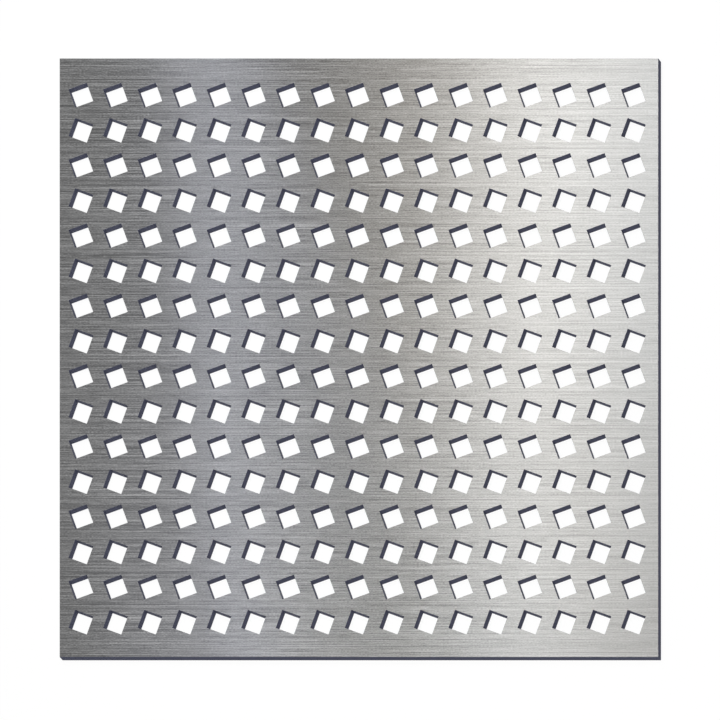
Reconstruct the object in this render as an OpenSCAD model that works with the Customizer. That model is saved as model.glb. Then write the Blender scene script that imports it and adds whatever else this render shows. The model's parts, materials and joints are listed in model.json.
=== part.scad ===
// Perforated steel plate: a flat piece of plate, cut through by rows of square holes. The holes of one row
// are turned one way, and those of the next row are turned as far the other way.
// The plate lies flat, with its underside on z = 0 and its middle on the Z axis. The field of holes starts
// from the corner of the -X and -Y edges, so what is left over is in the margins at the +X and +Y edges.

/* [Plate] */
// Width of the plate, along X
plate_w = 600; // [200:1:1200]
// Length of the plate, along Y
plate_l = 600; // [200:1:1200]
// Thickness of the plate
plate_t = 4; // [1:0.5:12]

/* [Holes] */
// Side of each square hole
hole_side = 19; // [6:0.5:25]
// Turn of the holes from the plate's edges, in degrees
hole_turn = 20; // [0:1:45]
// Distance between the centres of neighbouring holes in a row
pitch_x = 34.6; // [28:0.1:80]
// Distance between the centre lines of neighbouring rows
pitch_y = 35.2; // [28:0.1:80]

/* [Margins] */
// Distance from the -X edge to the centres of the first column; the +X edge keeps at least as much
margin_x = 21.4; // [15:0.1:80]
// Distance from the -Y edge to the centres of the first row; the +Y edge keeps at least as much
margin_y = 35; // [15:0.1:80]

/* [Hidden] */
steel = "#9d9ea1";

columns = floor((plate_w - 2 * margin_x) / pitch_x) + 1;
rows = floor((plate_l - 2 * margin_y) / pitch_y) + 1;

function hole_centre(column, row) = [
    margin_x - plate_w / 2 + column * pitch_x,
    margin_y - plate_l / 2 + row * pitch_y,
];

// The first row and every second one after it turn clockwise, seen from above, and the others anticlockwise
function row_turn(row) = row % 2 == 0 ? -hole_turn : hole_turn;

module hole_row(row) {
    for (column = [0 : columns - 1])
        translate(hole_centre(column, row))
            rotate(row_turn(row))
                square(hole_side, center = true);
}

module perforated_plate() {
    color(steel)
        linear_extrude(plate_t)
            difference() {
                square([plate_w, plate_l], center = true);
                for (row = [0 : rows - 1])
                    hole_row(row);
            }
}

perforated_plate();
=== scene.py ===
import contextlib
import json
import math

import bpy
from mathutils import Matrix, Vector


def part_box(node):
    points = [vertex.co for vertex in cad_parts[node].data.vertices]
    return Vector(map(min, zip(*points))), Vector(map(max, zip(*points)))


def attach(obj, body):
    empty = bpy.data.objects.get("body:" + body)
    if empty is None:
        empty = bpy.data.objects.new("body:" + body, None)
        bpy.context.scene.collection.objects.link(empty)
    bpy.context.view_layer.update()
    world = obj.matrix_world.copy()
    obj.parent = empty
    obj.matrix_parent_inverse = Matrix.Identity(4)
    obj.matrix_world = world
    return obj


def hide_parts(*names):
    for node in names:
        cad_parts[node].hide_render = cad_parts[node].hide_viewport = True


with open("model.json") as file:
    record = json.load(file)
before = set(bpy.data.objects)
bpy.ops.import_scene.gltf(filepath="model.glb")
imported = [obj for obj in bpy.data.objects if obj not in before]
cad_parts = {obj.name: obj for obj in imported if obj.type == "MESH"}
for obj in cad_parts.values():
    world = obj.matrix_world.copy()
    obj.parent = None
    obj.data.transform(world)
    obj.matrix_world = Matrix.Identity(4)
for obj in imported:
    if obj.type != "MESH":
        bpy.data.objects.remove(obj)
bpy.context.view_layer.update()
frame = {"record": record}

# Sizes, in metres; the plate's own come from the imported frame
MM = 0.001
NODE = "perforated_plate"
LOW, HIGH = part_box(NODE)
PLATE_W = HIGH.x - LOW.x
PLATE_T = HIGH.z - LOW.z
COLUMNS = 17
ROWS = 16
HOLE_SIDE = 19 * MM
HOLE_TURN = math.radians(20)
# The edges that turn by more than the angle are broken by this much
EDGE_BREAK = 0.2 * MM
SHARP_ANGLE = math.radians(60)
# Points closer than this are one point
SAME_PLACE = 0.02 * MM

# The photograph, in its own pixels: the plate's width, the depth seen at its right and front edges,
# and how far the picture's middle lies to the right of and below the middle of the plate's face
PHOTO_PX = 720
PLATE_PX = 598.8
RIGHT_EDGE_PX = 2.95
FRONT_EDGE_PX = 3.5
AIM_RIGHT_PX = 1.05
AIM_BELOW_PX = 2.3
LENS_MM = 600

# Brush lines: their height across the brushing, and for each kind its length along it and its share.
# Real lines are finer; these are drawn as coarse as the photograph shows them.
BRUSH_HEIGHT = 0.65 * MM
BRUSH_LINES = ((500 * MM, 0.21), (150 * MM, 0.24), (40 * MM, 0.2), (10 * MM, 0.13), (2 * MM, 0.22))
# The sums of the lines' noise that make the darkest and the palest line where the painted contrast is full
BRUSH_LOW = 0.384
BRUSH_HIGH = 0.616
# Painted light: the lines' contrast along the plate's width follows the bands of reflected light, weakest
# under the bright band at the right, and is not a change in the brushing: places as shares of the width, and
# the contrast there
PAINTED_LINE_CONTRAST = ((0.0, 0.65), (0.54, 1.0), (1.0, 0.45))
DARK_LINE = "#848484"
PALE_LINE = "#cdcdcd"
# Where between dark and pale the lines begin to scatter light, and the metallic share of the palest
SCATTER_START = 0.37
SCATTER_METAL = 0.54

# Cut edges: the width and depth of the lines that run through the thickness.
# Real ones are finer; these are drawn as coarse as they need to be to show.
CUT_LINE = 0.8 * MM
CUT_DEPTH = 0.02 * MM

# Floor: its side, how far it lies below the plate, and the share of its look that is plain white.
# The rest is lit by the lamps and keeps the plate's shadow.
FLOOR_SIDE = 120
FLOOR_DROP = 0.2 * MM
FLOOR_GLOW = 0.9

# Lamps: the heights at which the narrow strips, the wide panels and the fill hang, and the room's own light
STRIP_Z = 0.65
PANEL_Z = 0.67
FILL_Z = 1.9
ROOM_LIGHT = 0.315


def stated_hole(row, column):
    """The centre of a hole that the record states as an opening."""
    name = f"hole_row_{row}_column_{column}"
    openings = frame["record"]["physics"]["openings"]
    low, high = next(o["box_m"] for o in openings if o["name"] == name)
    return (Vector(low) + Vector(high)) / 2


# The stated holes at two opposite corners give the whole field its place and its pitches
FIRST_HOLE = stated_hole(1, 1)
LAST_HOLE = stated_hole(ROWS, COLUMNS)
PITCH_X = (LAST_HOLE.x - FIRST_HOLE.x) / (COLUMNS - 1)
PITCH_Y = (LAST_HOLE.y - FIRST_HOLE.y) / (ROWS - 1)


def linear(hex_colour):
    """An sRGB hex colour as linear RGBA."""
    parts = [int(hex_colour[i : i + 2], 16) / 255 for i in (1, 3, 5)]
    return [c / 12.92 if c <= 0.04045 else ((c + 0.055) / 1.055) ** 2.4 for c in parts] + [1]


def add_node(tree, kind, inputs=None, **settings):
    """Adds a shader node with its settings; an input is linked to a socket or set to a value."""
    node = tree.nodes.new(kind)
    for name, value in settings.items():
        setattr(node, name, value)
    for name, source in (inputs or {}).items():
        socket = node.inputs[name]
        if isinstance(source, bpy.types.NodeSocket):
            tree.links.new(source, socket)
        else:
            socket.default_value = source
    return node


def new_material(name):
    """An empty node material, and its node tree."""
    material = bpy.data.materials.new(name)
    material.use_nodes = True
    material.node_tree.nodes.clear()
    return material, material.node_tree


def brushed_steel():
    """Stainless steel brushed along X: grey metal whose fine straight lines smear reflections across them."""
    material, tree = new_material("brushed_stainless_steel")
    place = add_node(tree, "ShaderNodeTexCoord").outputs["Object"]
    tangent = add_node(tree, "ShaderNodeTangent", direction_type="UV_MAP").outputs["Tangent"]
    total = 0.0
    for length, share in BRUSH_LINES:
        # Each kind of line reads the noise at a place of its own, so that no two kinds line up
        apart = (length / MM, 0, length / MM)
        stretch = {"Vector": place, "Location": apart, "Scale": (1 / length, 1 / BRUSH_HEIGHT, 1)}
        stretched = add_node(tree, "ShaderNodeMapping", stretch).outputs[0]
        fine = {"Vector": stretched, "Scale": 1.0, "Detail": 0.0}
        noise = add_node(tree, "ShaderNodeTexNoise", fine).outputs["Fac"]
        terms = {0: noise, 1: share, 2: total}
        total = add_node(tree, "ShaderNodeMath", terms, operation="MULTIPLY_ADD").outputs[0]
    # The painted contrast scales the lines about their middle tone
    span = {"Value": total, "From Min": BRUSH_LOW, "From Max": BRUSH_HIGH, "To Min": -0.5, "To Max": 0.5}
    line = add_node(tree, "ShaderNodeMapRange", span).outputs[0]
    # Painted light: the lines grow stronger or weaker along the width to follow the reflected light, not the
    # brushing
    place_x = add_node(tree, "ShaderNodeSeparateXYZ", {"Vector": place}).outputs["X"]
    width = {"Value": place_x, "From Min": LOW.x, "From Max": HIGH.x}
    share_x = add_node(tree, "ShaderNodeMapRange", width).outputs[0]
    painted_contrast = add_node(tree, "ShaderNodeValToRGB", {"Fac": share_x})
    painted_contrast.color_ramp.elements.new(0.5)
    for stop, (share, strength) in zip(painted_contrast.color_ramp.elements, PAINTED_LINE_CONTRAST):
        stop.position = share
        stop.color = (strength, strength, strength, 1)
    terms = {0: line, 1: painted_contrast.outputs["Color"], 2: 0.5}
    streak = add_node(tree, "ShaderNodeMath", terms, operation="MULTIPLY_ADD").outputs[0]
    colour = add_node(tree, "ShaderNodeValToRGB", {"Fac": streak})
    colour.color_ramp.elements[0].color = linear(DARK_LINE)
    colour.color_ramp.elements[1].color = linear(PALE_LINE)
    bare = {"Value": streak, "From Min": SCATTER_START, "To Min": 1.0, "To Max": SCATTER_METAL}
    # A quarter turn from the tangent smears reflections across the lines
    finish = {
        "Base Color": colour.outputs["Color"],
        "Metallic": add_node(tree, "ShaderNodeMapRange", bare).outputs[0],
        "Roughness": 0.28,
        "Anisotropic": 1.0,
        "Anisotropic Rotation": 0.25,
        "Tangent": tangent,
    }
    shader = add_node(tree, "ShaderNodeBsdfPrincipled", finish)
    add_node(tree, "ShaderNodeOutputMaterial", {"Surface": shader.outputs["BSDF"]})
    return material


def cut_steel():
    """Cut steel, dark blue-grey, dull and faintly streaked through the thickness."""
    material, tree = new_material("dark_blue_grey_cut_steel")
    place = add_node(tree, "ShaderNodeTexCoord").outputs["Object"]
    scale = (1 / CUT_LINE, 1 / CUT_LINE, 1 / PLATE_T)
    stretched = add_node(tree, "ShaderNodeMapping", {"Vector": place, "Scale": scale}).outputs[0]
    fine = {"Vector": stretched, "Scale": 1.0, "Detail": 1.0}
    noise = add_node(tree, "ShaderNodeTexNoise", fine).outputs["Fac"]
    colour = add_node(tree, "ShaderNodeValToRGB", {"Fac": noise})
    colour.color_ramp.elements[0].color = linear("#3e4050")
    colour.color_ramp.elements[1].color = linear("#4e5063")
    bump = add_node(tree, "ShaderNodeBump", {"Height": noise, "Distance": CUT_DEPTH, "Strength": 1.0})
    finish = {
        "Base Color": colour.outputs["Color"],
        "Specular IOR Level": 0.2,
        "Roughness": 0.7,
        "Normal": bump.outputs["Normal"],
    }
    shader = add_node(tree, "ShaderNodeBsdfPrincipled", finish)
    add_node(tree, "ShaderNodeOutputMaterial", {"Surface": shader.outputs["BSDF"]})
    return material


def white_card():
    """Matt white card: plain white to the eye and in reflections, with a soft shadow under the plate."""
    material, tree = new_material("matt_white_card")
    path = add_node(tree, "ShaderNodeLightPath").outputs
    seen = path["Is Camera Ray"]
    for ray in ("Is Glossy Ray", "Is Transmission Ray"):
        seen = add_node(tree, "ShaderNodeMath", {0: seen, 1: path[ray]}, operation="MAXIMUM").outputs[0]
    share = add_node(tree, "ShaderNodeMath", {0: seen, 1: FLOOR_GLOW}, operation="MULTIPLY").outputs[0]
    lit = add_node(tree, "ShaderNodeBsdfDiffuse", {"Color": linear("#fafafa")}).outputs[0]
    plain = add_node(tree, "ShaderNodeEmission", {"Color": linear("#ffffff"), "Strength": 1.0}).outputs[0]
    shown = add_node(tree, "ShaderNodeMixShader", {0: share, 1: lit, 2: plain}).outputs[0]
    add_node(tree, "ShaderNodeOutputMaterial", {"Surface": shown})
    return material


@contextlib.contextmanager
def edit_mode():
    """Edit mode on the active object, for the steps of one block."""
    bpy.ops.object.mode_set(mode="EDIT")
    yield
    bpy.ops.object.mode_set(mode="OBJECT")


def apply_modifier(obj, kind, **settings):
    """Adds a modifier with its settings to an object, and applies it."""
    modifier = obj.modifiers.new(kind.lower(), kind)
    for name, value in settings.items():
        setattr(modifier, name, value)
    bpy.context.view_layer.objects.active = obj
    bpy.ops.object.modifier_apply(modifier=modifier.name)


def select_edges(mesh, axis, place):
    """Selects the edges that lie along a line at one place on an axis, and nothing else."""
    for face in mesh.polygons:
        face.select = False
    for vertex in mesh.vertices:
        vertex.select = abs(vertex.co[axis] - place) < SAME_PLACE
    for edge in mesh.edges:
        edge.select = all(mesh.vertices[i].select for i in edge.vertices)


def hole_cell(row, turn):
    """One pitch of the plate's upper face, at the first column of a row, with its turned square hole."""
    centre = Vector((FIRST_HOLE.x, FIRST_HOLE.y + row * PITCH_Y, HIGH.z))
    bpy.ops.object.select_all(action="DESELECT")
    bpy.ops.mesh.primitive_plane_add(size=1, location=centre)
    cell = bpy.context.object
    cell.scale = (PITCH_X, PITCH_Y, 1)
    bpy.ops.object.transform_apply(location=True, rotation=True, scale=True)
    inset_length = PITCH_Y - PITCH_X + HOLE_SIDE
    with edit_mode():
        bpy.ops.mesh.select_all(action="SELECT")
        bpy.ops.mesh.inset(thickness=(PITCH_X - HOLE_SIDE) / 2, use_even_offset=True)
        bpy.ops.transform.resize(value=(1, HOLE_SIDE / inset_length, 1), center_override=centre)
        # With no window this operator turns the other way
        bpy.ops.transform.rotate(value=-turn, orient_axis="Z", center_override=centre)
        bpy.ops.mesh.delete(type="FACE")
    return cell


def hole_field():
    """The upper face over all the holes: a cell of each turn, joined and repeated by column and row pair."""
    field = hole_cell(0, -HOLE_TURN)
    second_row = hole_cell(1, HOLE_TURN)
    bpy.ops.object.select_all(action="DESELECT")
    field.select_set(True)
    second_row.select_set(True)
    bpy.context.view_layer.objects.active = field
    bpy.ops.object.join()
    for count, step in ((COLUMNS, (PITCH_X, 0, 0)), (ROWS // 2, (0, 2 * PITCH_Y, 0))):
        apply_modifier(
            field,
            "ARRAY",
            count=count,
            use_relative_offset=False,
            use_constant_offset=True,
            constant_offset_displace=step,
            use_merge_vertices=True,
            merge_threshold=SAME_PLACE,
        )
    with edit_mode():
        bpy.ops.mesh.select_all(action="SELECT")
        bpy.ops.mesh.remove_doubles(threshold=SAME_PLACE)
    return field


def make_plate():
    """The plate: the field of holes, with margins drawn out to the edges, and then its thickness."""
    plate = hole_field()
    plate.name = plate.data.name = "plate"
    margins = (
        (0, FIRST_HOLE.x - PITCH_X / 2, LOW.x),
        (0, LAST_HOLE.x + PITCH_X / 2, HIGH.x),
        (1, FIRST_HOLE.y - PITCH_Y / 2, LOW.y),
        (1, LAST_HOLE.y + PITCH_Y / 2, HIGH.y),
    )
    for axis, place, edge in margins:
        select_edges(plate.data, axis, place)
        draw = [0, 0, 0]
        draw[axis] = edge - place
        with edit_mode():
            bpy.ops.mesh.select_mode(type="EDGE")
            bpy.ops.mesh.extrude_edges_move(TRANSFORM_OT_translate={"value": draw})
    with edit_mode():
        bpy.ops.mesh.select_all(action="SELECT")
        bpy.ops.mesh.normals_make_consistent(inside=False)
    # An open sheet has no outside, so its faces may all have come to point down
    if plate.data.polygons[0].normal.z < 0:
        with edit_mode():
            bpy.ops.mesh.flip_normals()
    plate.data.materials.append(brushed_steel())
    plate.data.materials.append(cut_steel())
    cut_slot = 1
    apply_modifier(plate, "SOLIDIFY", thickness=PLATE_T, offset=-1, material_offset_rim=cut_slot)
    apply_modifier(
        plate,
        "BEVEL",
        width=EDGE_BREAK,
        segments=1,
        limit_method="ANGLE",
        angle_limit=SHARP_ANGLE,
        material=cut_slot,
    )
    # The UV map gives the steel's tangent its direction
    with edit_mode():
        bpy.ops.mesh.select_all(action="SELECT")
        bpy.ops.uv.cube_project(cube_size=1)
    return plate


def make_floor():
    """A wide floor just below the plate."""
    bpy.ops.object.select_all(action="DESELECT")
    bpy.ops.mesh.primitive_plane_add(size=FLOOR_SIDE, location=(0, 0, -FLOOR_DROP))
    floor = bpy.context.object
    floor.name = "floor"
    floor.data.materials.append(white_card())


def make_camera():
    """A camera whose picture lies level while its line of sight leans to the right and the front.

    The face so keeps its true outline while the right and front edges show, as in the photograph, and a
    long lens keeps the lean alike all over.
    """
    metres_px = PLATE_W / PLATE_PX
    lean_x = RIGHT_EDGE_PX * metres_px / PLATE_T
    lean_y = FRONT_EDGE_PX * metres_px / PLATE_T
    camera_data = bpy.data.cameras.new("camera")
    camera_data.lens = LENS_MM
    camera = bpy.data.objects.new("camera", camera_data)
    stand = bpy.data.objects.new("camera_stand", None)
    for obj in (camera, stand):
        bpy.context.scene.collection.objects.link(obj)
    stand.location = (AIM_RIGHT_PX * metres_px, -AIM_BELOW_PX * metres_px, HIGH.z)
    camera.parent = stand
    camera.matrix_parent_inverse = Matrix(((1, 0, lean_x, 0), (0, 1, -lean_y, 0), (0, 0, 1, 0), (0, 0, 0, 1)))
    sight = PHOTO_PX * metres_px * LENS_MM / camera_data.sensor_width
    camera.location.z = sight / math.sqrt(1 + lean_x**2 + lean_y**2)
    bpy.context.scene.camera = camera


def soft_lamp(name, place, size, radiance, colour, yaw=0):
    """A rectangular lamp that faces straight down; a radiance of 1 would show as white."""
    data = bpy.data.lights.new(name, "AREA")
    data.shape = "RECTANGLE"
    data.size, data.size_y = size
    data.energy = radiance * size[0] * size[1] * math.pi
    data.color = linear(colour)[:3]
    lamp = bpy.data.objects.new(name, data)
    lamp.location = place
    lamp.rotation_euler.z = math.radians(yaw)
    # The lamps hang between the camera and the plate
    lamp.visible_camera = False
    bpy.context.scene.collection.objects.link(lamp)


def make_lights():
    """Strips and panels whose reflections make the bands on the brushed face, a fill, and a white room."""
    world = bpy.data.worlds.new("studio")
    world.use_nodes = True
    background = world.node_tree.nodes["Background"]
    background.inputs["Color"].default_value = linear("#ffffff")
    background.inputs["Strength"].default_value = ROOM_LIGHT
    bpy.context.scene.world = world
    # The bright band at the right
    soft_lamp("key_strip", (-0.189, 0.53, STRIP_Z), (0.12, 1.63), radiance=2.76, colour="#fdffff", yaw=-5.2)
    # The narrow cool band at the left
    soft_lamp("cool_strip", (-0.542, 0.36, STRIP_Z), (0.025, 0.94), radiance=4.12, colour="#eaeeff", yaw=1.5)
    # The front half: a panel cool on its left and warm on its right
    soft_lamp("cool_front", (-0.557, -0.387, PANEL_Z), (0.16, 0.92), radiance=0.76, colour="#f0f2ff", yaw=4.4)
    soft_lamp("warm_front", (-0.38, -0.374, PANEL_Z), (0.195, 0.92), radiance=0.7, colour="#fffcea", yaw=4.4)
    # The slope up to the bright band, and the far right: a panel warm on its left and cool on its right
    soft_lamp("warm_back", (-0.234, 0.859, PANEL_Z), (0.255, 1.17), radiance=1.1, colour="#fff3e2", yaw=-9.4)
    soft_lamp("cool_back", (0.186, 0.789, PANEL_Z), (0.595, 1.17), radiance=1.12, colour="#f0f8ff", yaw=-9.4)
    # Light from the front right on the edges and the hole walls that show
    soft_lamp("fill", (0.8, -1.2, FILL_Z), (2.0, 2.0), radiance=3.2, colour="#fffffd")


make_camera()
make_floor()
make_lights()
plate = make_plate()
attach(plate, "root")
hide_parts(NODE)

bpy.context.scene.view_settings.view_transform = "Standard"
